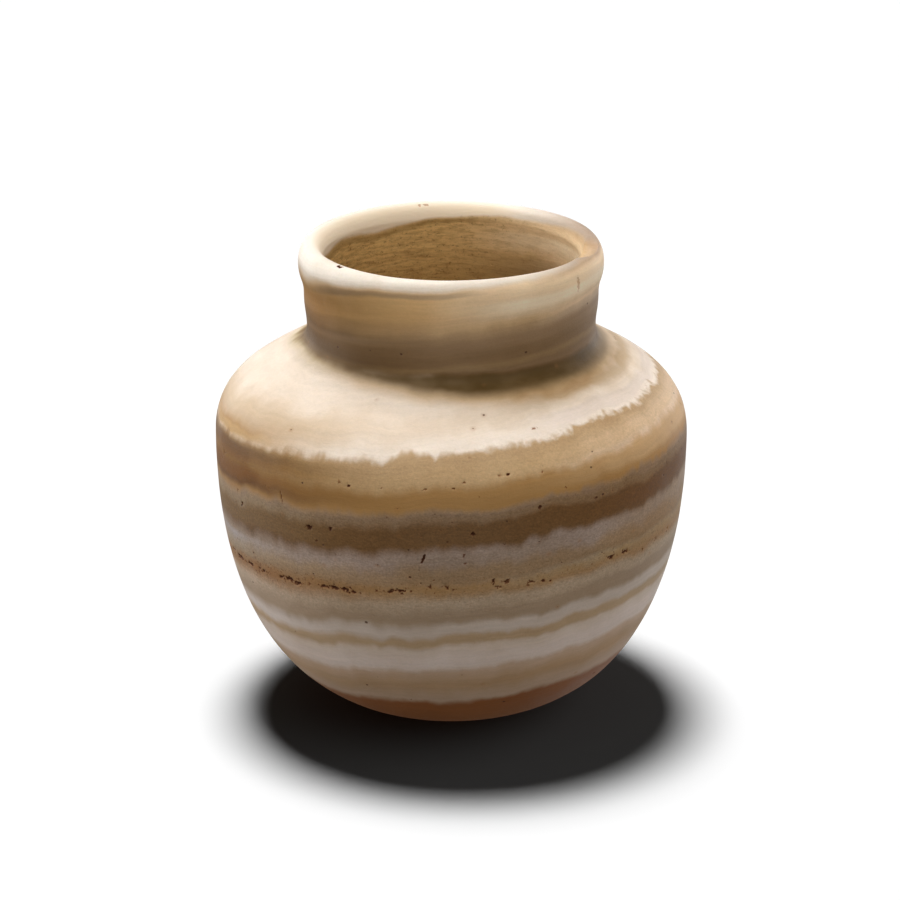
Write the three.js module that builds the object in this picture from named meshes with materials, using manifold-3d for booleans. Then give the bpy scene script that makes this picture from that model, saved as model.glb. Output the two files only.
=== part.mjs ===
// Squat, round-bottomed alabaster jar with a wide neck and a rolled lip.
//
// The jar is carved from one block of banded stone, so it is one closed solid: the outside is turned
// from a foot, belly, rolled shoulder, sloping shoulder, flared neck and rounded lip, and the inside
// is a straight drilled bore that opens under the shoulder into a wide undercut hollow.
// A shallow flake is missing from the inner edge of the lip.
// Millimetres, +Z up, with the origin at the centre of the foot. The side that faces -Y is the front.

import * as THREE from 'three';
import { mergeVertices } from 'three/addons/utils/BufferGeometryUtils.js';
import Module from 'manifold-3d';

// Outside of the body
const footRadius = 12;            // small flat that the jar stands on
const bellyRadius = 55;           // the widest place
const bellyHeight = 66;           // and how high it lies
const shoulderRollWidth = 10.5;   // the rounded shoulder draws in this far from the belly
const shoulderRollHeight = 16;    // while it climbs this far
const shoulderSlope = THREE.MathUtils.degToRad(30.6);  // of the straight shoulder above the roll

// Neck and lip
const totalHeight = 111.3;        // to the crown of the lip
const boreRadius = 29.2;          // drilled opening
const neckWall = 4.9;             // at the middle of the neck
const neckRootInset = 0.6;        // how much narrower the neck is where it meets the shoulder
const neckRootBlend = 2.2;        // length of the hollow blend there, along each side
const lipWall = 6.1;              // at the widest place of the lip
const lipHeight = 4.9;            // from that widest place up to the crown
const crownOffset = 3.1;          // from the bore out to the crown
const lipInnerDrop = 3.8;         // from the crown down to the edge of the bore
const neckMiddleShare = 0.6;      // place of that middle between the shoulder and the lip

// Hollow of the body
const bodyWall = 6.5;
const shoulderWall = 6;
const floorThickness = 9;
const boreEdgeBlend = 2;          // rounded edge where the bore opens into the hollow

// Flake missing from the inner edge of the lip, as an ellipsoid that dips into it
const flakeTurn = THREE.MathUtils.degToRad(80);  // from the front, round towards +X
const flakeHalfLength = 9.4;      // round the lip
const flakeHalfWidth = 4.4;       // across it
const flakeHalfDepth = 2.5;
const flakeInset = 1;             // its centre lies this far outside the bore
const flakeRise = 0.6;            // and this far above the crown

// Shares of the span of each curve that its two handles take
const footHandleShare = 0.7;
const belowBellyHandleShare = 0.56;
const aboveBellyHandleShare = 0.52;
const rollEndHandleShare = 0.64;
const neckHandleShare = 0.5;
const crownHandleShare = 0.7;     // of the crown's offset: how far its top runs level towards the bore

// Fineness of the facets
const chordTolerance = 0.14;      // a curve bulges at most this far past its facets
const facetTurn = THREE.MathUtils.degToRad(18);  // and turns at most this much at one facet
const segments = 80;              // round the axis
const flakeSegments = 20;
const weldDistance = 0.0001;      // points closer than this are one point

// Heights and radii that follow from the sizes above. A point is (radius from the axis, height).
const alongShoulder = new THREE.Vector2(-Math.cos(shoulderSlope), Math.sin(shoulderSlope));
const intoStone = new THREE.Vector2(-Math.sin(shoulderSlope), -Math.cos(shoulderSlope));
const neckRadius = boreRadius + neckWall;
const neckRootRadius = neckRadius - neckRootInset;
const lipRadius = boreRadius + lipWall;
const crownRadius = boreRadius + crownOffset;
const lipStartHeight = totalHeight - lipHeight;
const rollEnd = new THREE.Vector2(bellyRadius - shoulderRollWidth, bellyHeight + shoulderRollHeight);
const hollowRollEnd = rollEnd.clone().addScaledVector(intoStone, shoulderWall);
const neckRoot = pointAtRadius(rollEnd, neckRootRadius);
const hollowTop = pointAtRadius(hollowRollEnd, boreRadius);
const neckMiddleHeight = THREE.MathUtils.lerp(neckRoot.y, lipStartHeight, neckMiddleShare);

// The point of a shoulder line, outside or inside, that lies at a radius.
function pointAtRadius(start, radius) {
  return new THREE.Vector2(radius, start.y + (start.x - radius) * Math.tan(shoulderSlope));
}

// Smooth S between two places where the wall stands upright.
function uprightCurve(path, from, to) {
  const handle = (to.y - from.y) * neckHandleShare;
  path.bezierCurveTo(from.x, from.y + handle, to.x, to.y - handle, to.x, to.y);
}

// Foot, side and rolled shoulder, up to the end of the roll, for a wall of a given belly and floor.
function bodySide(floorHeight, radius, end) {
  const side = new THREE.Path();
  const flat = footRadius + (radius - footRadius) * footHandleShare;
  const rise = (bellyHeight - floorHeight) * belowBellyHandleShare;
  const climb = (end.y - bellyHeight) * aboveBellyHandleShare;
  const endHandle = (radius - end.x) * rollEndHandleShare;
  side.moveTo(0, floorHeight);
  side.lineTo(footRadius, floorHeight);
  side.bezierCurveTo(flat, floorHeight, radius, bellyHeight - rise, radius, bellyHeight);
  side.bezierCurveTo(radius, bellyHeight + climb, end.x - alongShoulder.x * endHandle,
    end.y - alongShoulder.y * endHandle, end.x, end.y);
  return side;
}

// Outside of the jar, from the axis under the foot up to the crown of the lip.
function outsidePath() {
  const path = bodySide(0, bellyRadius, rollEnd);
  const blendStart = neckRoot.clone().addScaledVector(alongShoulder, -neckRootBlend);
  const neckStart = new THREE.Vector2(neckRoot.x, neckRoot.y + neckRootBlend);
  const neckMiddle = new THREE.Vector2(neckRadius, neckMiddleHeight);
  const lipStart = new THREE.Vector2(lipRadius, lipStartHeight);
  path.lineTo(blendStart.x, blendStart.y);
  path.quadraticCurveTo(neckRoot.x, neckRoot.y, neckStart.x, neckStart.y);
  uprightCurve(path, neckStart, neckMiddle);
  uprightCurve(path, neckMiddle, lipStart);
  path.absellipse(crownRadius, lipStartHeight, lipRadius - crownRadius, lipHeight, 0, Math.PI / 2);
  return path;
}

// Inside of the jar, from the axis on the floor of the hollow up to the crown of the lip.
function insidePath() {
  const path = bodySide(floorThickness, bellyRadius - bodyWall, hollowRollEnd);
  const edgeStart = hollowTop.clone().addScaledVector(alongShoulder, -boreEdgeBlend);
  const innerLipHeight = totalHeight - lipInnerDrop;
  path.lineTo(edgeStart.x, edgeStart.y);
  path.quadraticCurveTo(hollowTop.x, hollowTop.y, boreRadius, hollowTop.y + boreEdgeBlend);
  path.lineTo(boreRadius, innerLipHeight);
  const levelEnd = crownRadius - crownOffset * crownHandleShare;
  path.quadraticCurveTo(levelEnd, totalHeight, crownRadius, totalHeight);
  return path;
}

// Points of a path, as many on each curve as its length and its turn call for.
function facetPoints(path) {
  const points = [path.getPoint(0)];
  for (const curve of path.curves) {
    if (curve.getLength() < weldDistance) continue;
    const steps = curve.isLineCurve ? 1 : curveSteps(curve);
    points.push(...curve.getSpacedPoints(steps).slice(1));
  }
  return points;
}

function curveSteps(curve) {
  const halfTurn = curve.getTangent(0).angleTo(curve.getTangent(0.5));
  const turn = halfTurn + curve.getTangent(0.5).angleTo(curve.getTangent(1));
  // An arc of length L that turns by T bulges L * T / 8, and n facets cut that down n * n times.
  const byTolerance = Math.sqrt((curve.getLength() * turn) / (8 * chordTolerance));
  return Math.ceil(Math.max(byTolerance, turn / facetTurn));
}

// Closed solid of a geometry whose faces point out.
function toSolid(wasm, geometry) {
  geometry.deleteAttribute('normal');
  geometry.deleteAttribute('uv');
  const merged = mergeVertices(geometry, weldDistance);
  const corners = merged.index.array;
  const kept = [];
  for (let i = 0; i < corners.length; i += 3) {
    const [a, b, c] = [corners[i], corners[i + 1], corners[i + 2]];
    if (a !== b && b !== c && c !== a) kept.push(a, b, c);
  }
  return new wasm.Manifold(new wasm.Mesh({
    numProp: 3,
    vertProperties: new Float32Array(merged.attributes.position.array),
    triVerts: new Uint32Array(kept),
  }));
}

function toGeometry(solid) {
  const mesh = solid.getMesh();
  const geometry = new THREE.BufferGeometry();
  geometry.setAttribute('position', new THREE.BufferAttribute(mesh.vertProperties, 3));
  geometry.setIndex(new THREE.BufferAttribute(mesh.triVerts, 1));
  geometry.computeVertexNormals();
  return geometry;
}

// The whole jar turned about the axis: up the outside, over the lip and down the inside.
function turnedBody() {
  const outside = facetPoints(outsidePath());
  const inside = facetPoints(insidePath()).reverse();
  const geometry = new THREE.LatheGeometry([...outside, ...inside.slice(1)], segments);
  geometry.rotateX(Math.PI / 2);
  return geometry;
}

// Ellipsoid that takes the flake out of the lip.
function lipFlake() {
  const geometry = new THREE.SphereGeometry(1, flakeSegments, flakeSegments / 2);
  geometry.scale(flakeHalfWidth, flakeHalfLength, flakeHalfDepth);
  geometry.translate(boreRadius + flakeInset, 0, totalHeight + flakeRise);
  geometry.rotateZ(flakeTurn - Math.PI / 2);
  return geometry;
}

const wasm = await Module();
wasm.setup();

const stone = new THREE.MeshStandardMaterial({ color: 0xcbb292, roughness: 0.5, metalness: 0 });
const solid = toSolid(wasm, turnedBody()).subtract(toSolid(wasm, lipFlake()));
const vessel = new THREE.Mesh(toGeometry(solid), stone);
vessel.name = 'vessel';

const jar = new THREE.Group();
jar.add(vessel);

export default jar;
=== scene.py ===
"""Banded alabaster jar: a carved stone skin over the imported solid, with a studio floor, light and camera."""
import math
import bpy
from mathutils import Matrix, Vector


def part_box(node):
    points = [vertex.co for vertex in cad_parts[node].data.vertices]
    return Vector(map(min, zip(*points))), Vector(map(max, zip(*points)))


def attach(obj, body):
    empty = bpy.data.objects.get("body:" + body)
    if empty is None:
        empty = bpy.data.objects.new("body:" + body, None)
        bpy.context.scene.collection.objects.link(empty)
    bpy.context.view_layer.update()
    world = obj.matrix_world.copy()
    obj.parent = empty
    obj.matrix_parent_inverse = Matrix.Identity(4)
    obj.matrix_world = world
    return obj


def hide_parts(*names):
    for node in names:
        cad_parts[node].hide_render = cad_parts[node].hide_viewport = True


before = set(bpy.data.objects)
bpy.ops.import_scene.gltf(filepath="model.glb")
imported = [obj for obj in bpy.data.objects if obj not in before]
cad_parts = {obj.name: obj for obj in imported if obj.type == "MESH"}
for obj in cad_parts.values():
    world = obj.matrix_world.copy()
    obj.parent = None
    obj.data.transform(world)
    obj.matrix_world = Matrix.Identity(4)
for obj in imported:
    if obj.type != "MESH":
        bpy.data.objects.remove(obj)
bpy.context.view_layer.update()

from types import SimpleNamespace

import bmesh
import bpy
import numpy as np
from mathutils import Vector, kdtree, noise

MM = 0.001


# Sizes of the jar, as in the part's source. The belly and the height come from the frame.
LOW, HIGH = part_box("vessel")
BELLY_RADIUS = (HIGH[0] - LOW[0]) / 2
TOTAL_HEIGHT = HIGH[2]
FOOT_RADIUS = 12 * MM
BELLY_HEIGHT = 66 * MM
ROLL_WIDTH = 10.5 * MM
ROLL_HEIGHT = 16 * MM
SHOULDER_SLOPE = math.radians(30.6)
BORE_RADIUS = 29.2 * MM
NECK_WALL = 4.9 * MM
NECK_ROOT_INSET = 0.6 * MM
NECK_ROOT_BLEND = 2.2 * MM
LIP_WALL = 6.1 * MM
LIP_HEIGHT = 4.9 * MM
CROWN_OFFSET = 3.1 * MM
LIP_INNER_DROP = 3.8 * MM
NECK_MIDDLE_SHARE = 0.6
BODY_WALL = 6.5 * MM
SHOULDER_WALL = 6 * MM
FLOOR_THICKNESS = 9 * MM
BORE_EDGE_BLEND = 2 * MM
FOOT_HANDLE_SHARE = 0.7
BELOW_BELLY_HANDLE_SHARE = 0.56
ABOVE_BELLY_HANDLE_SHARE = 0.52
ROLL_END_HANDLE_SHARE = 0.64
NECK_HANDLE_SHARE = 0.5
CROWN_HANDLE_SHARE = 0.7

# Flake missing from the inner edge of the lip, an ellipsoid that dips into it
FLAKE_TURN = math.radians(80)
FLAKE_HALF = (4.4 * MM, 9.4 * MM, 2.5 * MM)     # across the lip, round it, and down
FLAKE_INSET = 1 * MM
FLAKE_RISE = 0.6 * MM
FLAKE_MARGINS = (1.15, 1.15, 1.4)               # the fine faces reach this many times as far as the flake
ACROSS_LIP = Vector((math.sin(FLAKE_TURN), -math.cos(FLAKE_TURN), 0))
ROUND_LIP = Vector((0, 0, 1)).cross(ACROSS_LIP)
FLAKE_CENTRE = ACROSS_LIP * (BORE_RADIUS + FLAKE_INSET) + Vector((0, 0, TOTAL_HEIGHT + FLAKE_RISE))

# Fineness of the skin
SEGMENTS = 288
BODY_STEP = 1.25 * MM
NECK_STEP = 0.7 * MM
BORE_STEP = 0.4 * MM
LIP_STEP = 0.45 * MM
HOLLOW_STEP = 2.2 * MM
CURVE_SAMPLES = 400
FINE_CUTS = 4                                   # cuts of each edge beside a pit or the flake


# Profile: points are (radius, height)
def bezier(*corners):
    """Function of t for a Bezier curve of any degree."""
    corners = np.array(corners, float)
    degree = len(corners) - 1
    ways = [math.comb(degree, k) for k in range(degree + 1)]

    def at(t):
        t = np.asarray(t)[:, None]
        return sum(w * (1 - t) ** (degree - k) * t ** k * c for k, (w, c) in enumerate(zip(ways, corners)))
    return at


def ellipse(centre, radii, start, end):
    def at(t):
        turn = start + (end - start) * np.asarray(t)
        return np.stack([centre[0] + radii[0] * np.cos(turn), centre[1] + radii[1] * np.sin(turn)], 1)
    return at


def spaced(curve, step):
    """Points along a curve, evenly spaced by length, without its first point."""
    fine = curve(np.linspace(0, 1, CURVE_SAMPLES))
    length = np.concatenate([[0], np.cumsum(np.hypot(*np.diff(fine, axis=0).T))])
    count = max(1, round(length[-1] / step))
    at = np.linspace(0, length[-1], count + 1)[1:]
    return np.stack([np.interp(at, length, fine[:, 0]), np.interp(at, length, fine[:, 1])], 1)


ALONG_SHOULDER = np.array([-math.cos(SHOULDER_SLOPE), math.sin(SHOULDER_SLOPE)])
INTO_STONE = np.array([-math.sin(SHOULDER_SLOPE), -math.cos(SHOULDER_SLOPE)])
ROLL_END = np.array([BELLY_RADIUS - ROLL_WIDTH, BELLY_HEIGHT + ROLL_HEIGHT])
HOLLOW_ROLL_END = ROLL_END + INTO_STONE * SHOULDER_WALL


def on_shoulder(start, radius):
    """Point of a shoulder line, outside or inside, at a radius."""
    return np.array([radius, start[1] + (start[0] - radius) * math.tan(SHOULDER_SLOPE)])


def body_side(floor, radius, end, steps):
    """Foot, side and rolled shoulder, outside or inside."""
    flat_step, side_step = steps
    flat = FOOT_RADIUS + (radius - FOOT_RADIUS) * FOOT_HANDLE_SHARE
    rise = (BELLY_HEIGHT - floor) * BELOW_BELLY_HANDLE_SHARE
    climb = (end[1] - BELLY_HEIGHT) * ABOVE_BELLY_HANDLE_SHARE
    towards = end - ALONG_SHOULDER * (radius - end[0]) * ROLL_END_HANDLE_SHARE
    foot, belly = (FOOT_RADIUS, floor), (radius, BELLY_HEIGHT)
    return [
        spaced(bezier((0, floor), foot), flat_step),
        spaced(bezier(foot, (flat, floor), (radius, BELLY_HEIGHT - rise), belly), side_step),
        spaced(bezier(belly, (radius, BELLY_HEIGHT + climb), towards, end), side_step),
    ]


def upright(start, end):
    """Smooth S between two places where the wall stands upright."""
    handle = (end[1] - start[1]) * NECK_HANDLE_SHARE
    return bezier(start, (start[0], start[1] + handle), (end[0], end[1] - handle), end)


def profile():
    """Outlines of the wall: outside from the axis up to the crown of the lip, and on inside down to the axis."""
    neck_radius = BORE_RADIUS + NECK_WALL
    lip_start = np.array([BORE_RADIUS + LIP_WALL, TOTAL_HEIGHT - LIP_HEIGHT])
    crown = np.array([BORE_RADIUS + CROWN_OFFSET, TOTAL_HEIGHT])
    root = on_shoulder(ROLL_END, neck_radius - NECK_ROOT_INSET)
    blend_start = root - ALONG_SHOULDER * NECK_ROOT_BLEND
    neck_start = root + (0, NECK_ROOT_BLEND)
    middle = np.array([neck_radius, root[1] + (lip_start[1] - root[1]) * NECK_MIDDLE_SHARE])
    outside = [
        *body_side(0, BELLY_RADIUS, ROLL_END, (2 * BODY_STEP, BODY_STEP)),
        spaced(bezier(ROLL_END, blend_start), BODY_STEP),
        spaced(bezier(blend_start, root, neck_start), NECK_STEP),
        spaced(upright(neck_start, middle), NECK_STEP),
        spaced(upright(middle, lip_start), NECK_STEP),
        spaced(ellipse((crown[0], lip_start[1]), (lip_start[0] - crown[0], LIP_HEIGHT), 0, math.pi / 2),
               LIP_STEP),
    ]
    hollow_top = on_shoulder(HOLLOW_ROLL_END, BORE_RADIUS)
    edge_start = hollow_top - ALONG_SHOULDER * BORE_EDGE_BLEND
    edge_end = hollow_top + (0, BORE_EDGE_BLEND)
    inner_lip = np.array([BORE_RADIUS, TOTAL_HEIGHT - LIP_INNER_DROP])
    level_end = crown - (CROWN_OFFSET * CROWN_HANDLE_SHARE, 0)
    inside = [
        np.array([[0, FLOOR_THICKNESS]]),
        *body_side(FLOOR_THICKNESS, BELLY_RADIUS - BODY_WALL, HOLLOW_ROLL_END, (2 * HOLLOW_STEP, HOLLOW_STEP)),
        spaced(bezier(HOLLOW_ROLL_END, edge_start), HOLLOW_STEP),
        spaced(bezier(edge_start, hollow_top, edge_end), NECK_STEP),
        spaced(bezier(edge_end, inner_lip), BORE_STEP),
        spaced(bezier(inner_lip, level_end, crown), LIP_STEP),
    ]
    outside = np.concatenate([[[0, 0]], *outside])
    inside = np.concatenate(inside)[::-1][1:]
    return outside, inside


# Skin: the outline turned about the axis. A turn is counted from the front, -Y, round to +X.
OUTSIDE, INSIDE = profile()
OUTSIDE_SHARE = 0.72                            # of the height of the picture that the colours are baked to


def turned():
    """Mesh of the whole wall, with a map that unrolls it for the baked pictures."""
    turns = np.arange(SEGMENTS) * 2 * math.pi / SEGMENTS
    points = np.concatenate([OUTSIDE, INSIDE])
    rings = points[1:-1]
    verts = np.stack([np.outer(rings[:, 0], np.sin(turns)), -np.outer(rings[:, 0], np.cos(turns)),
                      np.repeat(rings[:, 1:], SEGMENTS, 1)], 2).reshape(-1, 3)
    first, last = len(verts), len(verts) + 1
    verts = np.concatenate([verts, [[0, 0, points[0][1]], [0, 0, points[-1][1]]]])
    along = np.concatenate([[0], np.cumsum(np.hypot(*np.diff(points, axis=0).T))])
    crown = len(OUTSIDE) - 1
    up = np.interp(along, [0, along[crown], along[-1]], [0, OUTSIDE_SHARE, 1])
    faces, places = [], []
    for row in range(len(rings) - 1):
        a, b = row * SEGMENTS, (row + 1) * SEGMENTS
        low, high = up[row + 1], up[row + 2]
        for k in range(SEGMENTS):
            n = (k + 1) % SEGMENTS
            left, right = ((k + i + SEGMENTS / 2) % SEGMENTS / SEGMENTS for i in (0, 1))
            right = right or 1.0
            faces.append((a + k, a + n, b + n, b + k))
            places.append(((left, low), (right, low), (right, high), (left, high)))
    end = (len(rings) - 1) * SEGMENTS
    for k in range(SEGMENTS):
        n = (k + 1) % SEGMENTS
        left = (k + SEGMENTS / 2) % SEGMENTS / SEGMENTS
        right, middle = left + 1 / SEGMENTS, left + 0.5 / SEGMENTS
        faces += [(first, n, k), (last, end + k, end + n)]
        places += [((middle, 0), (right, up[1]), (left, up[1])), ((middle, 1), (left, up[-2]), (right, up[-2]))]
    mesh = bpy.data.meshes.new("alabaster_skin")
    mesh.from_pydata(verts.tolist(), [], faces)
    unrolled = mesh.uv_layers.new(name="OFBake")
    unrolled.data.foreach_set("uv", np.array([c for place in places for c in place]).ravel())
    return mesh


# Pits and nicks that the photograph shows, as (turn, height, half width, half height, depth, lean), in degrees
# and mm. The lean is the shift to the side for each mm of height.
PITS = [
    (-35.5, 57.6, 0.75, 0.55, 0.5, 0), (-29.5, 58.4, 0.35, 0.5, 0.4, 0), (-33.5, 54.6, 0.3, 0.3, 0.25, 0),
    (-6.5, 53.8, 0.32, 1.3, 0.45, 0.35), (-62.5, 59.4, 0.4, 0.4, 0.3, 0), (-60.5, 56.8, 0.35, 0.4, 0.3, 0),
    (-44, 63.0, 0.16, 1.7, 0.2, -0.2), (-71, 66.0, 0.2, 0.8, 0.2, 0), (5, 59.8, 0.55, 0.45, 0.4, 0),
    (3, 55.0, 0.3, 0.3, 0.25, 0), (21, 65.0, 0.5, 0.35, 0.3, 0.5), (36, 64.6, 0.45, 0.3, 0.25, 0),
    (13.5, 73.0, 0.6, 0.3, 0.3, -0.9), (22, 72.8, 0.3, 0.2, 0.2, 0), (-24.5, 69.4, 0.4, 0.3, 0.3, 0),
    (-16.5, 70.0, 0.3, 0.3, 0.3, 0), (-27, 69.6, 0.25, 0.2, 0.2, 0), (-6, 70.2, 0.35, 0.22, 0.22, 0),
    (-1.5, 70.8, 0.3, 0.2, 0.2, 0), (0.5, 70.5, 0.35, 0.2, 0.25, 0), (3, 71.8, 0.3, 0.18, 0.2, 0),
    (23.2, 80.7, 0.4, 0.3, 0.2, 0), (24.2, 80.5, 0.3, 0.25, 0.2, 0), (22.4, 80.5, 0.25, 0.2, 0.15, 0),
    (4.5, 76.6, 0.9, 0.15, 0.08, 0), (54.5, 106.9, 0.55, 1.9, 0.1, 0), (54, 47.5, 0.35, 0.35, 0.25, 0),
]
# Clusters of small pits along the vein, as (turn, height, half length in degrees, strength)
CLUSTERS = [
    (-72, 41.6, 2.0, 0.8), (-67, 41.3, 2.6, 1.0), (-60.5, 41.6, 2.2, 1.0), (-54, 41.9, 1.6, 0.7),
    (-46.5, 42.6, 1.2, 0.8), (-43.5, 42.8, 1.8, 1.0), (-40.5, 42.6, 1.4, 0.8), (-36.5, 43.2, 1.0, 0.4),
    (-32.5, 43.7, 1.2, 0.8), (-29.5, 43.9, 1.8, 1.0), (-26.5, 44.0, 1.8, 1.0), (-24, 43.7, 1.2, 0.8),
    (-18, 45.2, 0.8, 0.4), (-14.5, 45.1, 1.2, 0.8), (-12, 45.5, 1.4, 0.9), (-5, 46.8, 0.8, 0.6),
    (-1, 46.8, 0.8, 0.6), (0.5, 46.0, 0.7, 0.6), (10, 48.0, 0.6, 1.0), (11, 46.6, 0.7, 0.6),
    (13.5, 48.0, 1.0, 0.6), (19.5, 47.0, 0.8, 0.6), (22.5, 46.8, 1.1, 0.7), (29, 48.6, 0.5, 0.4),
    (36, 48.8, 0.7, 0.5), (41.8, 49.0, 1.6, 0.8), (46.2, 48.9, 1.4, 0.8), (59, 48.0, 2.0, 0.35),
    (66.5, 48.2, 1.2, 0.4),
]
CORE_STRENGTH = 0.6                             # a cluster this strong has a long pit in its middle
# Small pits anywhere, as (lowest, highest, how many)
SCATTERED = [(8, 40, 10), (40, 56, 24), (56, 66, 28), (66, 76, 16), (76, 88, 2), (90, 104, 2)]
# Pits in the top of the lip, as (turn, radius, half width, half height, depth)
LIP_PITS = [
    (-49.6, 32.8, 0.85, 0.5, 0.4), (-50.8, 32.5, 0.4, 0.6, 0.3), (-49.0, 30.7, 0.5, 0.7, 0.5),
    (-169, 30.85, 0.7, 0.4, 0.12), (-166, 30.85, 0.4, 0.4, 0.12),
]
PIT_REACH = 2.2 * MM                            # the pits up to here from a place are looked at


def on_outside(turn, height):
    """Point of the outside at a turn, in degrees, and a height in mm above the foot."""
    turn = math.radians(turn)
    radius = np.interp(height * MM, OUTSIDE[:, 1], OUTSIDE[:, 0])
    return np.array([radius * math.sin(turn), -radius * math.cos(turn), height * MM])


def pit_sites():
    """All pits, as (place, half width, half height, depth, lean)."""
    chance = np.random.default_rng(7)
    pits = list(PITS)
    for turn, height, length, strength in CLUSTERS:
        if strength >= CORE_STRENGTH:
            pits.append((turn, height, 0.66 * length * strength, 0.1 + 0.24 * strength, 0.4 * strength, 0))
        for _ in range(round(3 + 5 * length * strength)):
            off, size = chance.normal(0, length * 0.65), chance.uniform(0.1, 0.24)
            pits.append((turn + off, height + 0.07 * off + chance.normal(0, 0.32), size * chance.uniform(1, 1.7),
                         size, 0.1 + 0.25 * strength * chance.uniform(0.4, 1), chance.uniform(-0.3, 0.3)))
    for low, high, count in SCATTERED:
        for _ in range(count):
            size = chance.uniform(0.12, 0.24)
            pits.append((chance.uniform(-180, 180), chance.uniform(low, high), size * chance.uniform(0.8, 1.8),
                         size, size * 0.9, 0))
    sites = [(on_outside(turn, height), *sizes) for turn, height, *sizes in pits]
    lip = np.concatenate([part[part[:, 1] > TOTAL_HEIGHT - LIP_INNER_DROP] for part in (INSIDE, OUTSIDE[::-1])])
    lip = lip[np.argsort(lip[:, 0])]
    for turn, radius, *sizes in LIP_PITS:
        turn, radius = math.radians(turn), radius * MM
        height = np.interp(radius, lip[:, 0], lip[:, 1])
        sites.append((np.array([radius * math.sin(turn), -radius * math.cos(turn), height]), *sizes, 0))
    return sites


SITES = pit_sites()


# Carving of the skin, in mm. All of it goes into the stone, so the jar never grows.
LARGE_WAVES = (0.16, 26)                        # depth, and size of a wave
SMALL_WAVES = (0.05, 6)
HOLLOW_WAVES = (0.1, 3.5)
HOLLOW_FURROWS = (0.25, 0.8, 1.3, 0.22)         # depth, waves in a radian, seed, waves in a mm of height
DENT = (0.2, -90, 38, 85, 6.5)                  # depth, turn and half width in degrees, height and half height
DRILL_RINGS = ((1.0, 0.25, 3.1, 0.75), (0.6, 0.4, 7.7, 2.1))   # share, waves in a radian, seed, waves in a mm
DRILL_DEPTHS = (0.1, 0.12, 0.05)                # everywhere, of the rings, and of the roughness on them
SHARP_ANGLE = math.radians(40)


def waves(co, depth, size):
    """Depth of rounded waves, up to twice the depth given."""
    return depth * (1 + noise.noise(co / (size * MM)))


def worn(co, normal):
    """Depth in mm of the unevenness that the hand and time have left in the walls."""
    height, turn = co.z / MM, math.atan2(co.x, -co.y)
    faces_out = normal.x * co.x + normal.y * co.y > 0 or height < 5
    in_bore = math.hypot(co.x, co.y) < BORE_RADIUS + 0.4 * MM and co.z > 60 * MM
    deep = waves(co, *LARGE_WAVES) + waves(co, *SMALL_WAVES)
    if faces_out or height > (TOTAL_HEIGHT - LIP_INNER_DROP) / MM:
        if faces_out:                           # a shallow dent in the left of the shoulder
            depth, middle, half_width, level, half_height = DENT
            deep += depth * math.exp(-((math.degrees(turn) - middle) / half_width) ** 2
                                     - ((height - level) / half_height) ** 2)
        return deep * min(1, max(0, height - 1) / 6)
    if in_bore:                                 # rings of the drill, broken here and there
        ring = sum(share * noise.noise(Vector((turn * around, seed, height * up)))
                   for share, around, seed, up in DRILL_RINGS)
        rough = noise.noise(co / (2.2 * MM)) + 0.6 * noise.noise(co / (0.9 * MM))
        broken = 0.5 + 0.5 * noise.noise(Vector((co.x, co.y, 1.6 * co.z)) / (5 * MM))
        below_lip = min(1, max(0, (TOTAL_HEIGHT - LIP_INNER_DROP - co.z) / (1.5 * MM)))
        even, ringed, roughened = DRILL_DEPTHS
        return deep + max(0, even + ringed * ring * broken + roughened * rough) * below_lip
    depth, around, seed, up = HOLLOW_FURROWS
    furrow = depth * (1 + noise.noise(Vector((turn * around, seed, height * up))))
    return deep + furrow + waves(co, *HOLLOW_WAVES)


def pitted(co, tree):
    """Depth in mm of the pits at a place, and how dark they are there: 1 from a depth of 0.3 mm."""
    turn = math.atan2(co.x, -co.y)
    sunk, dark = 0.0, 0.0
    for where, i, _ in tree.find_range(co, PIT_REACH):
        _, wide, tall, depth, lean = SITES[i]
        off = co - where
        along = off.x * math.cos(turn) + off.y * math.sin(turn)
        across = math.sqrt(max(0, off.length_squared - along ** 2))
        ragged = 1 + 0.6 * noise.noise(co / (0.45 * MM))
        far = math.hypot((along - lean * off.z) / (wide * MM), across / (tall * MM)) * ragged
        sunk = max(sunk, depth * max(0, 1 - far ** 2.5))
        dark = max(dark, min(1, 3 * max(0, 1.08 - far)) * min(1, depth / 0.3))
    return sunk, dark


def from_flake(place):
    """Place as seen from the middle of the flake, where the surface of the flake is 1 away."""
    off = place - FLAKE_CENTRE
    return Vector((off.dot(ACROSS_LIP) / FLAKE_HALF[0], off.dot(ROUND_LIP) / FLAKE_HALF[1], off.z / FLAKE_HALF[2]))


def flaked(place, co):
    """Height of a place of the skin once the flake is out of the lip."""
    away = from_flake(place)
    if away.length * (1 + 0.05 * noise.noise(co / (1.6 * MM))) >= 1:
        return place.z
    down = math.sqrt(max(0, 1 - away.x ** 2 - away.y ** 2)) * (1 + 0.04 * noise.noise(co / (1.1 * MM)))
    return min(place.z, FLAKE_CENTRE.z - FLAKE_HALF[2] * down)


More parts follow.
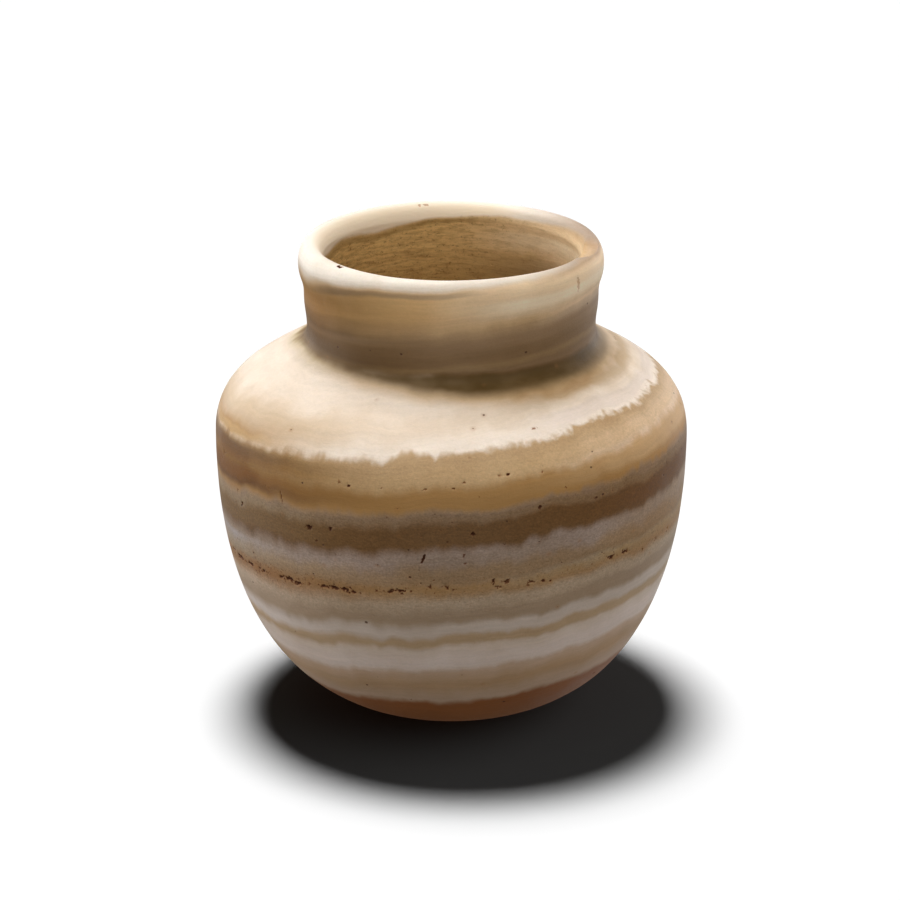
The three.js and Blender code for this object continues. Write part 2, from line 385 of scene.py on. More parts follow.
def carved(mesh):
    """Puts the unevenness, the pits and the flake into the skin, with finer faces round the pits and the flake."""
    fine_round = [max(wide, tall) * MM * 1.2 + 0.6 * MM for _, wide, tall, _, _ in SITES]
    bm = bmesh.new()
    bm.from_mesh(mesh)
    bm.normal_update()
    tree = kdtree.KDTree(len(SITES))
    for i, site in enumerate(SITES):
        tree.insert(site[0], i)
    tree.balance()

    def by_pit(edge):
        middle = (edge.verts[0].co + edge.verts[1].co) / 2
        return any(distance < fine_round[i] for _, i, distance in tree.find_range(middle, PIT_REACH))

    def by_flake(edge):
        return all(abs(away) < margin for away, margin in zip(from_flake(edge.verts[0].co), FLAKE_MARGINS))

    for near in (by_pit, by_flake):
        fine = [e for e in bm.edges if near(e)]
        bmesh.ops.subdivide_edges(bm, edges=fine, cuts=FINE_CUTS, use_grid_fill=True)
    bm.normal_update()

    darkness = bm.verts.layers.float.new("pit")
    moves = []
    for vert in bm.verts:
        co, normal = vert.co.copy(), vert.normal.copy()
        place = co - normal * worn(co, normal) * MM
        sunk, vert[darkness] = pitted(co, tree)
        place -= normal * sunk * MM
        place.z = flaked(place, co)
        moves.append(place)
    for vert, place in zip(bm.verts, moves):
        vert.co = place
    bm.to_mesh(mesh)
    bm.free()
    mesh.shade_smooth()
    mesh.set_sharp_from_angle(angle=SHARP_ANGLE)
    return mesh


skin = bpy.data.objects.new("alabaster_skin", carved(turned()))
bpy.context.collection.objects.link(skin)


# Stone. Colours are linear, and heights in the stone are in mm.
class Graph:
    """Short names for the nodes of one material. A value may be a socket or a number."""

    def __init__(self, tree):
        self.nodes, self.links = tree.nodes, tree.links

    def put(self, kind, inputs, **settings):
        node = self.nodes.new(kind)
        for name, value in settings.items():
            setattr(node, name, value)
        for key, value in inputs.items():
            self.fill(node.inputs[key], value)
        return node

    def fill(self, socket, value):
        if isinstance(value, bpy.types.NodeSocket):
            self.links.new(value, socket)
        else:
            socket.default_value = value

    def math(self, operation, *values):
        return self.put("ShaderNodeMath", dict(enumerate(values)), operation=operation).outputs[0]

    def add(self, *values):
        total = values[0]
        for value in values[1:]:
            total = self.math("ADD", total, value)
        return total

    def times(self, *values):
        total = values[0]
        for value in values[1:]:
            total = self.math("MULTIPLY", total, value)
        return total

    def step(self, value, low, high, start=0.0, end=1.0):
        """Smooth change from start to end as the value goes from low to high."""
        return self.put("ShaderNodeMapRange", {"Value": value, "From Min": low, "From Max": high, "To Min": start,
                                               "To Max": end}, interpolation_type="SMOOTHSTEP").outputs[0]

    def within(self, value, start, full, fading, end):
        """1 from full to fading, and 0 below start and above end."""
        return self.times(self.step(value, start, full), self.step(value, fading, end, 1.0, 0.0))

    def near_zero(self, value, close, away):
        """1 where the value is closer to 0 than close, and 0 where it is further than away."""
        return self.step(self.math("ABSOLUTE", value), close, away, 1.0, 0.0)

    def curve(self, value, stops):
        """Straight lines through stops of (value, result), with results from 0 to 1."""
        low, high = stops[0][0], stops[-1][0]
        share = self.put("ShaderNodeMapRange", {"Value": value, "From Min": low, "From Max": high}).outputs[0]
        ramp = self.nodes.new("ShaderNodeValToRGB")
        while len(ramp.color_ramp.elements) < len(stops):
            ramp.color_ramp.elements.new(0.5)
        for element, (at, result) in zip(ramp.color_ramp.elements, stops):
            element.position = (at - low) / (high - low)
            element.color = (result, result, result, 1)
        self.links.new(share, ramp.inputs[0])
        return ramp.outputs[0]

    def fold(self, value):
        """Absolute value with a rounded bottom."""
        return self.math("SQRT", self.add(self.times(value, value), 0.02))

    def place(self, x, y, z):
        return self.put("ShaderNodeCombineXYZ", {"X": x, "Y": y, "Z": z}).outputs[0]

    def stretch(self, vector, factors):
        return self.put("ShaderNodeVectorMath", {0: vector, 1: factors}, operation="MULTIPLY").outputs[0]

    def noise(self, vector, scale, detail=2.0, roughness=0.5):
        """Noise from about -1 to 1."""
        node = self.put("ShaderNodeTexNoise",
                        {"Vector": vector, "Scale": scale, "Detail": detail, "Roughness": roughness})
        return self.put("ShaderNodeMapRange", {"Value": node.outputs["Fac"], "From Min": 0.25, "From Max": 0.75,
                                               "To Min": -1.0, "To Max": 1.0}, clamp=False).outputs[0]

    def cells(self, vector, scale):
        """Distance from the middle of a cell, and three chances of that cell."""
        node = self.put("ShaderNodeTexVoronoi", {"Vector": vector, "Scale": scale})
        return node.outputs["Distance"], self.put("ShaderNodeSeparateColor", {0: node.outputs["Color"]}).outputs

    def mix(self, share, first, second, blend="MIX"):
        node = self.put("ShaderNodeMix", {}, data_type="RGBA", blend_type=blend)
        for key, value in ((0, share), (6, first), (7, second)):
            self.fill(node.inputs[key], (*value, 1.0) if isinstance(value, tuple) else value)
        return node.outputs[2]


ORANGE_BASE = (0.32, 0.115, 0.034)
SAND = (0.58, 0.40, 0.27)
BEIGE = (0.53, 0.33, 0.18)
PALE = (0.80, 0.65, 0.55)
TAN = (0.53, 0.36, 0.21)
MILK = (0.635, 0.515, 0.42)
TAUPE = (0.40, 0.277, 0.175)
OCHRE = (0.41, 0.24, 0.11)
MAUVE = (0.42, 0.31, 0.245)
UMBER = (0.195, 0.098, 0.034)
ASH = (0.34, 0.22, 0.14)
HONEY = (0.465, 0.25, 0.082)
BISCUIT = (0.61, 0.40, 0.20)
SMOKE = (0.25, 0.15, 0.07)
AMBER_WITH_PAINTED_LIGHT = ((0.82, 0.52, 0.235), (1.0, 0.79, 0.54))    # at the left, and at the right, where painted light makes it brighter
IVORY = (0.93, 0.83, 0.71)

# Edges of the bands from the foot up: height in the stone, softness, kind and size of its unevenness, colour above
BANDS = [
    (14.4, 0.9, "wave", 0.5, SAND),
    (18.0, 2.0, "wave", 0.8, BEIGE),
    (22.6, 2.6, "wave", 0.6, (0.65, 0.46, 0.32)),
    (24.8, 0.9, "domes", 0.5, PALE),
    (29.0, 1.8, "wave", 0.6, (0.73, 0.58, 0.46)),
    (31.4, 0.8, "domes", 0.7, TAN),
    (34.0, 0.8, "wave", 0.7, MILK),
    (37.2, 1.1, "wave", 0.7, TAUPE),
    (41.1, 1.3, "wave", 0.6, (0.49, 0.355, 0.235)),
    (44.3, 1.2, "wave", 0.6, OCHRE),
    (47.9, 1.2, "wave", 0.5, (0.40, 0.26, 0.15)),
    (51.6, 1.5, "wave", 1.4, MAUVE),
    (55.6, 1.3, "lobes", 2.0, UMBER),
    (62.3, 1.0, "wave", 0.8, (0.30, 0.185, 0.10)),
    (63.5, 0.8, "wave", 0.6, (0.28, 0.175, 0.09)),
    (64.2, 0.9, "wave", 0.8, ASH),
    (64.9, 0.5, "domes", 1.3, (0.36, 0.245, 0.155)),
    (65.4, 0.9, "domes", 1.3, HONEY),
    (70.6, 1.2, "domes", 1.0, BISCUIT),
    (74.2, 2.0, "wave", 0.5, (0.50, 0.325, 0.165)),
    (77.2, 0.8, "teeth", 1.9, (0.88, 0.75, 0.62)),
    (80.8, 2.0, "wave", 0.9, (0.72, 0.57, 0.42)),
    (83.8, 2.0, "wave", 0.9, (0.80, 0.67, 0.54)),
    (88.4, 1.1, "level", 0.5, SMOKE),
    (90.8, 0.7, "wave", 0.5, (0.32, 0.20, 0.09)),
    (91.8, 0.6, "wave", 0.3, SMOKE),
    (94.8, 1.5, "wave", 0.3, (0.32, 0.20, 0.105)),
    (97.9, 1.3, "wave", 0.3, (0.46, 0.30, 0.155)),
    (99.8, 1.0, "wave", 0.5, (0.68, 0.45, 0.23)),
    (101.9, 2.0, "wave", 0.4, AMBER_WITH_PAINTED_LIGHT),
    (109.9, 0.6, "wave", 0.2, IVORY),
]

# Places where the stone is made darker or lighter: from x, to x, low and high in the stone, softness, tint. The rows
# marked below are painted light and shade.
# With many more rows the shader is too big for the renderer, and the jar comes out black.
TINTS = [
    (-10, -50, 66.3, 75.9, 1.3, (0.34, 0.24, 0.10)),
    (-18, -44, 67.7, 73.0, 1.0, (1.22, 1.18, 1.05)),
    (-26, -44, 67.7, 71.5, 0.8, (1.16, 1.20, 1.16)),
    (-20, -38, 72.0, 76.4, 1.0, (0.90, 0.83, 0.63)),
    (-23, -48, 76.5, 81.0, 2.0, (0.58, 0.41, 0.20)),
    (-14, -38, 80.0, 84.2, 1.5, (0.83, 0.77, 0.67)),
    (-22, -46, 33.0, 44.5, 1.6, (1.22, 1.27, 1.38)),
    (-36, -50, 45.8, 53.2, 1.3, (1.0, 1.12, 1.30)),
    (-18, -30, 49.5, 53.2, 1.2, (1.08, 1.12, 1.16)),
    (-30, -46, 53.4, 56.4, 0.8, (0.86, 0.83, 0.75)),
    (-18, -46, 57.2, 64.0, 1.4, (1.20, 1.33, 1.42)),
    (4, -22, 90.0, 97.8, 1.5, (0.52, 0.46, 0.33)),
    (6, -10, 97.5, 103.0, 1.2, (0.76, 0.74, 0.73)),
    (0, -30, 98.5, 109.8, 1.2, (0.45, 0.39, 0.27)),
    (-22, -33, 96.0, 108.0, 1.0, (0.95, 0.85, 0.64)),
    (-20, -30, 90.0, 93.0, 1.0, (1.28, 1.32, 1.25)),
    # Painted light: the next two rows make the upper belly lighter at the right
    (15, 45, 66.5, 75.0, 1.6, (1.18, 1.25, 1.50)),
    (12, 38, 67.0, 71.2, 0.8, (1.12, 1.19, 1.38)),
    # Painted shade: the shoulder darker just below the crease at the front right
    (8, 24, 82.6, 84.8, 1.0, (0.74, 0.66, 0.53)),
    (14, 28, 77.9, 80.6, 0.8, (0.89, 0.87, 0.88)),
    (-10, -45, 43.0, 47.0, 1.0, (0.92, 0.82, 0.75)),
    (-5, 35, 45.9, 48.2, 0.8, (1.10, 1.30, 1.60)),
    (-20, -4, 47.9, 54.9, 1.0, (0.86, 0.83, 0.76)),
    (18, 32, 49.3, 55.0, 1.0, (1.14, 1.18, 1.28)),
    (0, 45, 57.0, 66.0, 1.5, (1.0, 0.90, 0.72)),
    (28, 47, 44.0, 62.0, 2.0, (1.0, 0.90, 0.72)),
    # Painted light: the neck lighter at the right
    (17, 31, 97.8, 100.9, 1.0, (1.30, 1.40, 1.70)),
    (0, 14, 106.0, 109.4, 0.8, (0.94, 0.87, 0.79)),
    (-70, -60, 109.5, 111.2, 0.7, (0.87, 0.84, 0.80)),
    (14, 33, 108.9, 114.0, 0.8, (0.56, 0.48, 0.43)),
]

# How steeply the beds rise to the right, by height, and how far they have risen at the front
TILT = [(14.0, 0.108), (33.0, 0.102), (47.0, 0.075), (56.0, 0.1), (65.0, 0.082), (76.0, 0.112), (82.0, 0.085),
        (88.5, 0.05), (91.0, 0.085), (98.0, 0.115), (104.0, 0.11), (107.0, 0.062), (112.0, 0.062)]
FRONT_RISE = 1.5
BACK_RISE = 0.03                                # for each mm from the front to the back
SWELL = (38, 0.5)                               # size and height of the long waves in the beds
RIPPLE_SIZE = 11.5                              # of the shorter waves
RIPPLE_HEIGHTS = (84.0, 92.0, 0.9, 0.3)         # from 84 to 92 mm on the jar, their height goes from 0.9 to 0.3
HONEY_LIFT = (0.3, -0.6)                        # of the honey beds, at the right and at the left
EDGE_WAVES = ((6, 0.8), (1.8, 0.25))            # size and height of the waves in an edge
CUSPS = (6, 2.2, 0.3, 0.6)                      # sizes of the bumps and of those on them, their share, the middle
LOBES = (9, 3.2, 0.28, 0.6)
SMALL_CUSPS = (3.2, 1.4, 0.35, 0.65)
EVEN_ROUGHNESS = 0.4
ROUGH_BEDS = [(38.0, 44.0, 64.0, 66.0, 2.0), (69.0, 71.5, 76.0, 79.0, 0.75)]    # start, full, fading, end, share
CLOUD_SIZE = 12

# The vein, the pits and the specks
VEIN = 46.5                                     # height of the vein in the stone
RUST = ((0.40, 0.215, 0.07), (0.36, 0.165, 0.055))  # of the stone round the vein, at the right and at the left
VEIN_DOT = (0.16, 0.058, 0.018)
VEIN_CRUST = (0.12, 0.045, 0.016)
PIT_RIM = (0.42, 0.21, 0.10)
PIT_FLOOR = (0.075, 0.022, 0.006)
SPECK = (0.07, 0.025, 0.008)
SPECK_HALO = (0.40, 0.17, 0.05)
FLECK = (0.58, 0.40, 0.26)

# By turn, in degrees: how far above 85 mm the stain and painted shade in the crease begin, in steps of CREASE_RISE,
# and their strength
CREASE_RISE = 4.0
CREASE_LOW = [(-180, 0.8), (-75, 0.95), (-55, 0.85), (-34, 0.6), (-15, 0.48), (0, 0.29), (15, 0.2), (34, 0.29),
              (59, 0.32), (180, 0.75)]
CREASE_STRENGTH = [(-180, 0.5), (-90, 0.3), (-60, 0.35), (-34, 0.85), (0, 1.0), (60, 1.0), (90, 0.6), (180, 0.5)]
# The golden rim and the dark stain are partly real staining and partly painted shade, where the neck shades the
# shoulder in front
CREASE_RIM_AND_SHADE = ((0.80, 0.67, 0.48), (0.75, 0.58, 0.34))   # at the left, and at the right
CREASE_STAIN_AND_SHADE = (0.105, 0.055, 0.008)
CREASE_RIM_AND_SHADE_EDGE = (82.4, 84.8)                  # heights between which each comes up, before that rise
CREASE_STAIN_AND_SHADE_EDGE = (83.9, 86.1)
CREASE_TOP = (90.6, 88.9)                       # and between which both are gone

# Lip and bore. Their colours come up between two radii, and between two heights in the stone.
LIP_EDGE = 108.9                                # height in the stone of the painted shadow line under the lip
LIP_SHADOW_LINE = (0.38, 0.27, 0.18)
# Painted light on the far side of the lip, brighter than its stone
FAR_LIP_PAINTED_LIGHT = ((1.0, 0.90, 0.79), (1.0, 0.82, 0.60))    # at its top, and at its inner edge
FAR_LIP_RADII = (33.2, 32.0)
FAR_LIP_HEIGHTS = (109.7, 110.6)
SEAM = 109.2                                    # height in the stone of the dark line round the bore
SEAM_LINE = (0.30, 0.17, 0.05)
BORE = ((0.60, 0.35, 0.11), (0.86, 0.56, 0.21))     # deep down, and near the lip
BORE_RADII = (31.6, 30.6)
BORE_HEIGHTS = (110.5, 109.4)
BORE_DIRT = (0.27, 0.135, 0.038)
BORE_DUST = (0.14, 0.055, 0.015)
BORE_RUST = (0.24, 0.07, 0.02)


def positions(g):
    """Where a point lies in the jar, and in the stone, whose beds rise to the right, and swell and dip."""
    here = g.stretch(g.put("ShaderNodeTexCoord", {}).outputs["Object"], (1 / MM, 1 / MM, 1 / MM))
    split = g.put("ShaderNodeSeparateXYZ", {0: here})
    x, y, z = (split.outputs[k] for k in "XYZ")
    tilt = g.curve(z, TILT)
    height = g.add(z, g.times(x, tilt, -1.0), g.times(y, BACK_RISE), FRONT_RISE)
    swell = g.times(g.noise(here, 1 / SWELL[0], 1.0), SWELL[1])
    ripple = g.times(g.noise(g.stretch(here, (1, 1, 0.5)), 1 / RIPPLE_SIZE, 3.0, 0.6), g.step(z, *RIPPLE_HEIGHTS))
    right, left = HONEY_LIFT
    lift = g.times(g.add(g.times(g.step(x, 8.0, 28.0), right), g.times(g.step(x, -12.0, -34.0), left)),
                   g.step(z, 62.5, 65.5), g.step(z, 74.0, 70.0))
    bed = g.add(height, swell, ripple, lift)
    turn = g.times(g.math("ARCTAN2", x, g.times(y, -1.0)), 180 / math.pi)
    return SimpleNamespace(here=here, x=x, y=y, z=z, height=height, swell=swell, ripple=ripple, bed=bed, turn=turn)


def uneven_edges(g, at):
    """Kinds of uneven edge, read at places that hardly change with height, so that they stand upright."""
    flat = g.place(at.x, at.y, g.times(at.bed, 0.5))
    at.wave = g.add(*(g.times(g.noise(flat, 1 / size, 2.0), tall) for size, tall in EDGE_WAVES))
    upright = g.place(at.x, at.y, g.times(at.bed, 0.1))

    def bumps(large, small, share, middle):
        """Row of rounded bumps, with smaller ones on them."""
        return g.add(g.fold(g.noise(upright, 1 / large, 1.0)),
                     g.times(g.fold(g.noise(upright, 1 / small, 1.0)), share), -middle)
    cusps = bumps(*CUSPS)
    lobes = bumps(*LOBES)
    small = bumps(*SMALL_CUSPS)
    on_right = g.step(at.x, 5.0, 30.0)
    teeth = g.add(g.times(cusps, g.step(at.x, -20.0, 15.0, 1.0, 0.35)),
                  g.times(small, g.add(0.3, g.times(on_right, 0.4))),
                  g.times(g.step(at.x, -44.0, -28.0), g.step(at.x, 0.0, -14.0), 0.5))
    return {"wave": (at.wave, 1.0), "teeth": (teeth, -1.0), "domes": (cusps, -1.0), "lobes": (lobes, 1.0)}


def banded(g, at):
    """The bands, one over the other from the orange base up."""
    kinds = uneven_edges(g, at)
    softness = g.step(at.x, -25.0, 25.0, 1.5, 1.0)
    colour = ORANGE_BASE
    for level, soft, kind, size, above in BANDS:
        # A level edge follows the height on the jar, not the bed, so the dark band of the neck starts right at the
        # crease all round: partly the stone's colour, partly painted shade of the crease
        if kind == "level":
            value = g.add(at.z, g.times(g.noise(at.here, 1 / 7, 1.0), size))
        else:
            edge, sign = kinds[kind]
            value = g.add(at.bed, g.times(edge, sign * size))
            if kind == "lobes":
                value = g.add(value, g.step(g.math("ABSOLUTE", at.x), 14.0, 30.0, 0.0, 0.5))
        half = g.times(softness, soft)
        share = g.step(value, g.math("SUBTRACT", level, half), g.add(half, level))
        if len(above) == 2:
            above = g.mix(g.step(at.x, -10.0, 18.0), *above)
        colour = g.mix(share, colour, above)
    return colour


def with_grain(g, at, colour):
    """Fine beds, clouds and grain, which is roughest in the brown beds."""
    x, y, bed = at.x, at.y, at.bed
    at.fine = g.noise(g.place(g.times(x, 0.05), g.times(y, 0.05), bed), 1.3, 4.0, 0.65)
    at.cloud = g.noise(at.here, 1 / CLOUD_SIZE, 4.0, 0.55)
    at.fibre = g.noise(g.stretch(at.here, (1, 1, 2.4)), 0.9, 3.0, 0.7)
    at.grain = g.noise(at.here, 2.2, 2.0, 0.6)
    at.rough = EVEN_ROUGHNESS
    for *edges, more in ROUGH_BEDS:
        at.rough = g.add(at.rough, g.times(g.within(bed, *edges), more))
    tone = g.add(1.0, g.times(at.fine, 0.07), g.times(at.cloud, 0.07), g.times(at.fibre, at.rough, 0.075),
                 g.times(at.grain, at.rough, 0.075))
    tones = {0: tone, 1: g.add(tone, g.times(at.cloud, 0.02)),
             2: g.add(tone, g.times(at.cloud, 0.05), g.times(at.fibre, 0.03))}
    return g.mix(1.0, colour, g.put("ShaderNodeCombineColor", tones).outputs[0], "MULTIPLY")


def tinted(g, at, colour):
    """Places made darker or lighter, some of them painted light and shade."""
    patchy = g.add(1.0, g.times(at.cloud, 0.2))
    for first, last, low, high, soft, tint in TINTS:
        share = g.times(g.step(at.x, first, last), g.step(at.bed, low - soft, low + soft),
                        g.step(at.bed, high + soft, high - soft))
        colour = g.mix(g.times(share, patchy), colour, tint, "MULTIPLY")
    return colour


def with_crease_stain_and_shade(g, at, colour):
    """Dark stain in the crease under the neck, with a golden rim below, which reaches down most at the front right.
    Both are partly a real stain and partly painted shade, the neck's shadow on the shoulder.
    """
    blotch = g.noise(g.stretch(at.here, (1, 1, 1.5)), 1 / 6, 2.0, 0.5)
    above_low = g.add(at.z, g.times(at.cloud, 0.4), g.times(blotch, 0.25),
                      g.times(g.curve(at.turn, CREASE_LOW), -CREASE_RISE))
    top = g.add(at.z, g.times(blotch, 0.3), g.step(at.x, 0.0, -14.0, 0.0, 1.0))
    strength = g.times(g.curve(at.turn, CREASE_STRENGTH), g.step(top, *CREASE_TOP))
    colour = g.mix(g.times(g.step(above_low, *CREASE_RIM_AND_SHADE_EDGE), strength), colour,
                   g.mix(g.step(at.x, -10.0, 28.0), *CREASE_RIM_AND_SHADE), "MULTIPLY")
    return g.mix(g.times(g.step(above_low, *CREASE_STAIN_AND_SHADE_EDGE), strength, g.step(blotch, -1.0, 0.9, 0.97, 0.84)),
                 colour, CREASE_STAIN_AND_SHADE)


def specked(g, at, colour):
    """Specks, more of them in some beds, and small flecks in the rough beds."""
    x, bed = at.x, at.bed
    distance, chances = g.cells(g.stretch(at.here, (1, 1, 1.2)), 0.42)
    crowd = g.add(g.step(bed, 100.0, 97.0, 0.0, 0.03), g.times(g.near_zero(g.add(bed, -71.0), 0.5, 1.1), 0.5),
                  g.times(g.within(bed, 56.0, 58.0, 64.0, 66.0), 0.3),
                  g.times(g.within(bed, 91.0, 93.0, 97.0, 99.0), g.step(x, 4.0, -14.0, 0.0, 0.4)),
                  g.times(g.within(bed, 46.0, 48.0, 53.0, 56.0), 0.2))
    chosen = g.math("LESS_THAN", chances[0], crowd)
    size = g.add(0.05, g.times(chances[1], 0.11))
    at.speck = g.times(chosen, g.step(g.math("SUBTRACT", distance, size), -0.03, 0.03, 1.0, 0.0))
    halo = g.times(chosen, g.step(distance, 0.0, 0.45, 1.0, 0.0), g.step(chances[2], 0.4, 0.9))
    colour = g.mix(g.times(halo, 0.35), colour, SPECK_HALO)
    colour = g.mix(g.times(at.speck, 0.8), colour, SPECK)
    fleck = g.times(g.step(g.noise(g.stretch(at.here, (1, 1, 1.6)), 1.7, 3.0, 0.75), 0.3, 1.0),
                    g.step(at.cloud, -0.8, 0.8, 0.3, 1.0), g.add(at.rough, -EVEN_ROUGHNESS))
    return g.mix(g.times(fleck, 0.5), colour, FLECK, "MULTIPLY")


def veined(g, at, colour):
    """The vein: a rusty stain with dark dots and a burnt crust, widest at the far left."""
    off_vein = g.math("ABSOLUTE", g.add(at.height, g.times(at.swell, 0.6), g.times(at.ripple, 0.4),
                                        g.times(at.wave, 0.3), -VEIN))
    patch = g.noise(g.stretch(at.here, (1, 1, 0.4)), 1 / 7, 2.0)
    far_left = g.step(at.x, -18.0, -40.0)
    at.mottle = g.noise(at.here, 0.55, 4.0, 0.7)
    beside = g.add(off_vein, g.times(at.mottle, -0.7), g.times(far_left, -0.6))
    stain = g.times(g.step(beside, 0.1, 1.5, 1.0, 0.0), g.step(patch, -0.5, 0.7, 0.25, 0.85),
                    g.step(at.x, 20.0, -45.0, 0.65, 0.9))
    colour = g.mix(stain, colour, g.mix(g.step(at.x, 0.0, -45.0), *RUST))
    dots = g.times(g.step(g.add(g.noise(at.here, 1.5, 2.0, 0.6), g.times(far_left, 0.2)), 0.5, 0.85),
                   g.step(g.add(off_vein, g.times(patch, -1.0), g.times(far_left, -0.8)), 0.3, 2.4, 1.0, 0.0))
    colour = g.mix(g.times(dots, 0.75), colour, VEIN_DOT)
    crust = g.noise(g.stretch(at.here, (0.7, 0.7, 1.5)), 0.9, 4.0, 0.75)
    at.burnt = g.times(g.step(off_vein, 0.2, 1.3, 1.0, 0.0), g.step(patch, 0.1, 0.9), g.step(crust, 0.45, 0.85))
    return g.mix(g.times(at.burnt, 0.8), colour, VEIN_CRUST)


def with_far_lip_light(g, at, colour):
    """Painted light: the far side of the lip is made brighter and more golden, the more so towards its inner edge."""
    at.sunken = g.add(at.bed, g.step(at.x, -4.0, -14.0, 0.0, 0.45), g.step(at.x, -17.0, -24.0, 0.0, -0.9),
                      g.step(at.x, -25.0, -29.0, 0.0, 1.1))
    painted_far_lip_light = g.times(g.step(at.radius, *FAR_LIP_RADII), g.step(at.sunken, *FAR_LIP_HEIGHTS),
                   g.step(at.x, 20.0, 8.0), g.step(at.y, -20.0, 0.0))
    return g.mix(painted_far_lip_light, colour, g.mix(g.step(at.radius, 32.6, 30.2), *FAR_LIP_PAINTED_LIGHT))


def with_pits(g, at, colour):
    """Brown rim and dark floor of each pit."""
    at.pit = g.put("ShaderNodeAttribute", {}, attribute_name="pit").outputs["Fac"]
    colour = g.mix(g.step(at.pit, 0.0, 0.6, 0.0, 0.8), colour, PIT_RIM, "MULTIPLY")
    return g.mix(g.step(at.pit, 0.35, 0.9, 0.0, 0.97), colour, PIT_FLOOR)


def with_bore(g, at, colour):
    """Below the cream bed, dirt in the drill marks turns the bore golden brown, and least at the right, where the
    lighter stone left showing is painted light on the right inner wall.
    """
    inside = g.times(g.step(at.radius, *BORE_RADII), g.step(at.z, 30.0, 60.0), g.step(at.sunken, *BORE_HEIGHTS))
    # Less of it at the right: painted light on the right inner wall
    dirt_and_painted_light = g.times(inside, g.step(at.x, 28.0, -6.0, 0.2, 0.9))
    streak = g.noise(g.place(g.times(at.x, 0.13), g.times(at.y, 0.13), at.z), 1.8, 3.0, 0.6)
    colour = g.mix(dirt_and_painted_light, colour, g.mix(g.step(at.z, 84.0, 108.0), *BORE))
    lines = g.noise(g.stretch(at.here, (0.3, 0.3, 1.5)), 1.3, 4.0, 0.75)
    dirt = g.step(g.add(g.times(streak, 0.6), g.times(lines, 0.6), g.times(at.mottle, 0.3)), -0.6, 1.0)
    colour = g.mix(g.times(dirt_and_painted_light, dirt, 0.7), colour, BORE_DIRT)
    dust = g.step(g.noise(g.stretch(at.here, (1, 1, 1.3)), 1.5, 3.0, 0.75), 0.15, 0.75)
    dusty = g.times(dirt_and_painted_light, dust, g.step(g.add(at.mottle, lines), -1.0, 0.8, 0.15, 0.85))
    colour = g.mix(dusty, colour, BORE_DUST)
    rust = g.times(dirt_and_painted_light, g.step(g.noise(g.stretch(at.here, (0.3, 0.3, 2.0)), 0.9, 3.0, 0.7), 0.85, 1.3),
                   g.step(at.mottle, 0.0, 0.8))
    colour = g.mix(g.times(rust, 0.75), colour, BORE_RUST)
    seam = g.times(g.near_zero(g.add(at.sunken, g.times(streak, 0.1), -SEAM), 0.15, 0.9),
                   g.step(at.radius, *BORE_RADII), g.step(at.x, 24.0, -2.0))
    return g.mix(g.times(seam, 0.5), colour, SEAM_LINE)


def banded_stone():
    """Material of the jar. What more than one of its layers needs is kept in at."""
    stone = bpy.data.materials.new("banded_stone")
    stone.use_nodes = True
    g = Graph(stone.node_tree)
    bsdf = g.nodes["Principled BSDF"]
    at = positions(g)
    colour = banded(g, at)
    at.radius = g.math("SQRT", g.add(g.times(at.x, at.x), g.times(at.y, at.y)))
    # Painted shadow: a dark line under the lip at the front left, in place of the shadow of a small ledge there
    line = g.times(g.near_zero(g.add(at.bed, -LIP_EDGE), 0.15, 0.9), g.step(at.x, 12.0, -2.0),
                   g.step(at.x, -34.0, -26.0), g.step(at.radius, 31.0, 33.0))
    colour = g.mix(g.times(line, 0.6), colour, LIP_SHADOW_LINE)
    for layer in (with_grain, tinted, with_crease_stain_and_shade, specked, veined, with_far_lip_light, with_pits, with_bore):
        colour = layer(g, at, colour)

    g.links.new(colour, bsdf.inputs["Base Color"])
    g.links.new(g.add(g.step(g.add(at.cloud, at.fibre), -1.5, 1.5, 0.46, 0.62), g.times(at.pit, 0.3)),
                bsdf.inputs["Roughness"])
    bsdf.inputs["IOR"].default_value = 1.52
    bsdf.inputs["Specular IOR Level"].default_value = 0.22
    bsdf.inputs["Subsurface Weight"].default_value = 0.1
    bsdf.inputs["Subsurface Radius"].default_value = (1.0, 0.6, 0.4)
    bsdf.inputs["Subsurface Scale"].default_value = 1.6 * MM
    relief = g.add(g.times(at.fibre, 0.012), g.times(at.grain, 0.006), g.times(at.fine, 0.012),
                   g.times(at.speck, -0.12), g.times(at.burnt, -0.1))
    bump = g.put("ShaderNodeBump", {"Height": relief, "Distance": MM, "Strength": 1.0})
    g.links.new(bump.outputs[0], bsdf.inputs["Normal"])
    return stone


skin.data.materials.append(banded_stone())

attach(skin, "root")
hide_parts("vessel")


# Floor: dull paint under strong lights of its own. It comes out white, and as it takes up little of the light that
# the jar throws back, its shadow stays grey and deep.
FLOOR_REACH = 4.0
FLOOR_GREY = 0.05
floor_mesh = bpy.data.meshes.new("floor")
floor_mesh.from_pydata([(-FLOOR_REACH, -FLOOR_REACH, 0), (FLOOR_REACH, -FLOOR_REACH, 0),
                        (FLOOR_REACH, FLOOR_REACH, 0), (-FLOOR_REACH, FLOOR_REACH, 0)], [], [(0, 1, 2, 3)])
floor = bpy.data.objects.new("floor", floor_mesh)
bpy.context.collection.objects.link(floor)
pale = bpy.data.materials.new("pale_floor")
pale.use_nodes = True
paint = pale.node_tree.nodes["Principled BSDF"]
paint.inputs["Base Color"].default_value = (FLOOR_GREY, FLOOR_GREY, FLOOR_GREY, 1)
paint.inputs["Roughness"].default_value = 1.0
paint.inputs["Specular IOR Level"].default_value = 0.0
floor_mesh.materials.append(pale)
floor.visible_diffuse = False
floor.visible_glossy = False
floor.visible_shadow = False

world = bpy.data.worlds.new("studio")
world.use_nodes = True
air = world.node_tree.nodes["Background"]
air.inputs["Color"].default_value = (1, 1, 1, 1)
air.inputs["Strength"].default_value = 0.02
bpy.context.scene.world = world

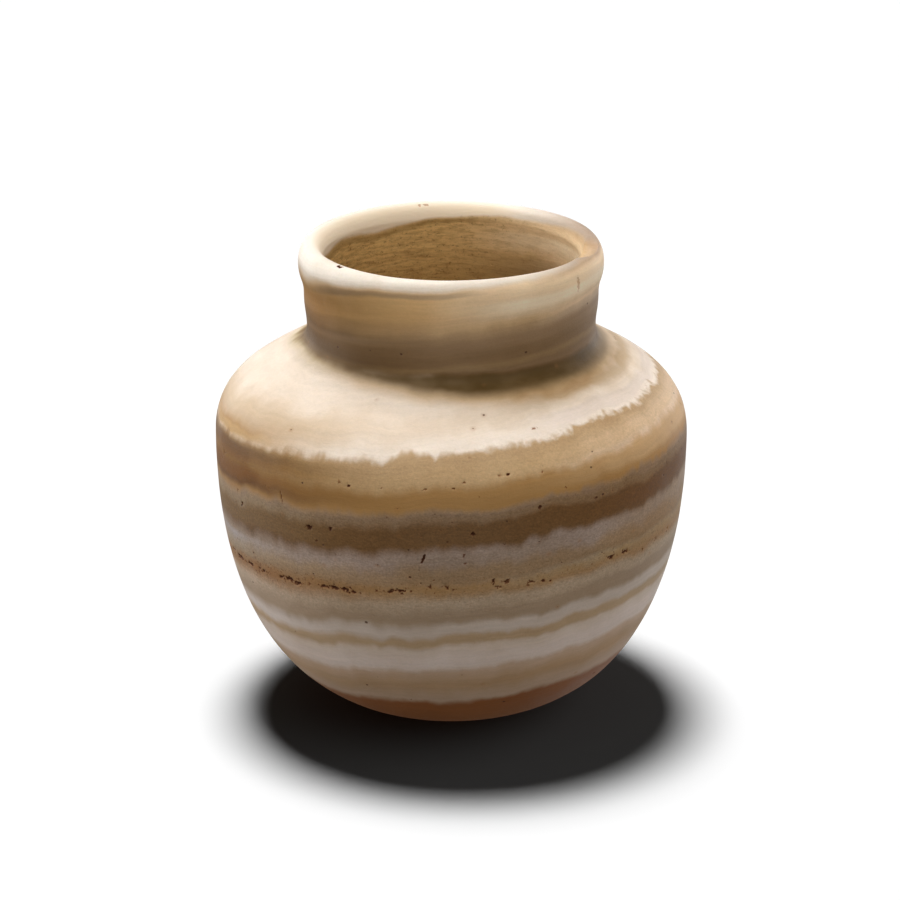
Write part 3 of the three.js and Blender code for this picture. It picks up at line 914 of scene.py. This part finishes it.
# Soft lights, as (name, turn about the axis from the front round to +X, height above the horizon, energy, angle)
FLOOR_LIGHTS = [
    ("overhead_on_floor", 197, 79.5, 39, 16),
    ("behind_on_floor", 197, 74, 25.8, 18),
    ("sky_on_floor", 0, 90, 0.4, 150),
    ("right_on_floor", 80, 20, 2.4, 80),
]
JAR_LIGHTS = [
    ("overhead", 197, 77.4, 2.0, 25),
    ("front_top", 350, 50, 0.8, 60),
    ("front_bounce", 0, -12, 0.46, 60),
    ("front_right", 50, 30, 0.46, 60),
    ("rim_right", 140, 10, 1.0, 50),
    ("rim_left", 220, 10, 0.9, 50),
    ("top_left", 262, 35, 0.8, 60),
    ("side_left", 262, 0, 0.9, 60),
    ("side_right", 80, 5, 0.3, 60),
    ("low_rim_right", 135, -25, 0.5, 60),
    ("low_rim_left", 228, -25, 0.2, 60),
]


def sun(name, turn, height, energy, angle, lit):
    """Soft light that only one object gets."""
    turn, height = math.radians(turn), math.radians(height)
    towards = Vector((math.cos(height) * math.sin(turn), -math.cos(height) * math.cos(turn), math.sin(height)))
    light = bpy.data.lights.new(name, "SUN")
    light.energy = energy
    light.angle = math.radians(angle)
    holder = bpy.data.objects.new(name, light)
    bpy.context.collection.objects.link(holder)
    holder.rotation_euler = towards.to_track_quat("Z", "Y").to_euler()
    only = bpy.data.collections.new(name + "_lit")
    only.objects.link(lit)
    holder.light_linking.receiver_collection = only


for lights, lit in ((FLOOR_LIGHTS, floor), (JAR_LIGHTS, skin)):
    for light in lights:
        sun(*light, lit)

LENS_MM = 150
SENSOR_MM = 36
PITCH = math.radians(19.7)
DISTANCE = 875 * MM
TARGET = Vector((-0.28 * MM, 0, 60 * MM))
camera = bpy.data.objects.new("camera", bpy.data.cameras.new("camera"))
bpy.context.collection.objects.link(camera)
camera.data.lens = LENS_MM
camera.data.sensor_width = SENSOR_MM
camera.location = TARGET + DISTANCE * Vector((0, -math.cos(PITCH), math.sin(PITCH)))
camera.rotation_euler = (math.pi / 2 - PITCH, 0, 0)
bpy.context.scene.camera = camera
bpy.context.scene.view_settings.view_transform = "Standard"
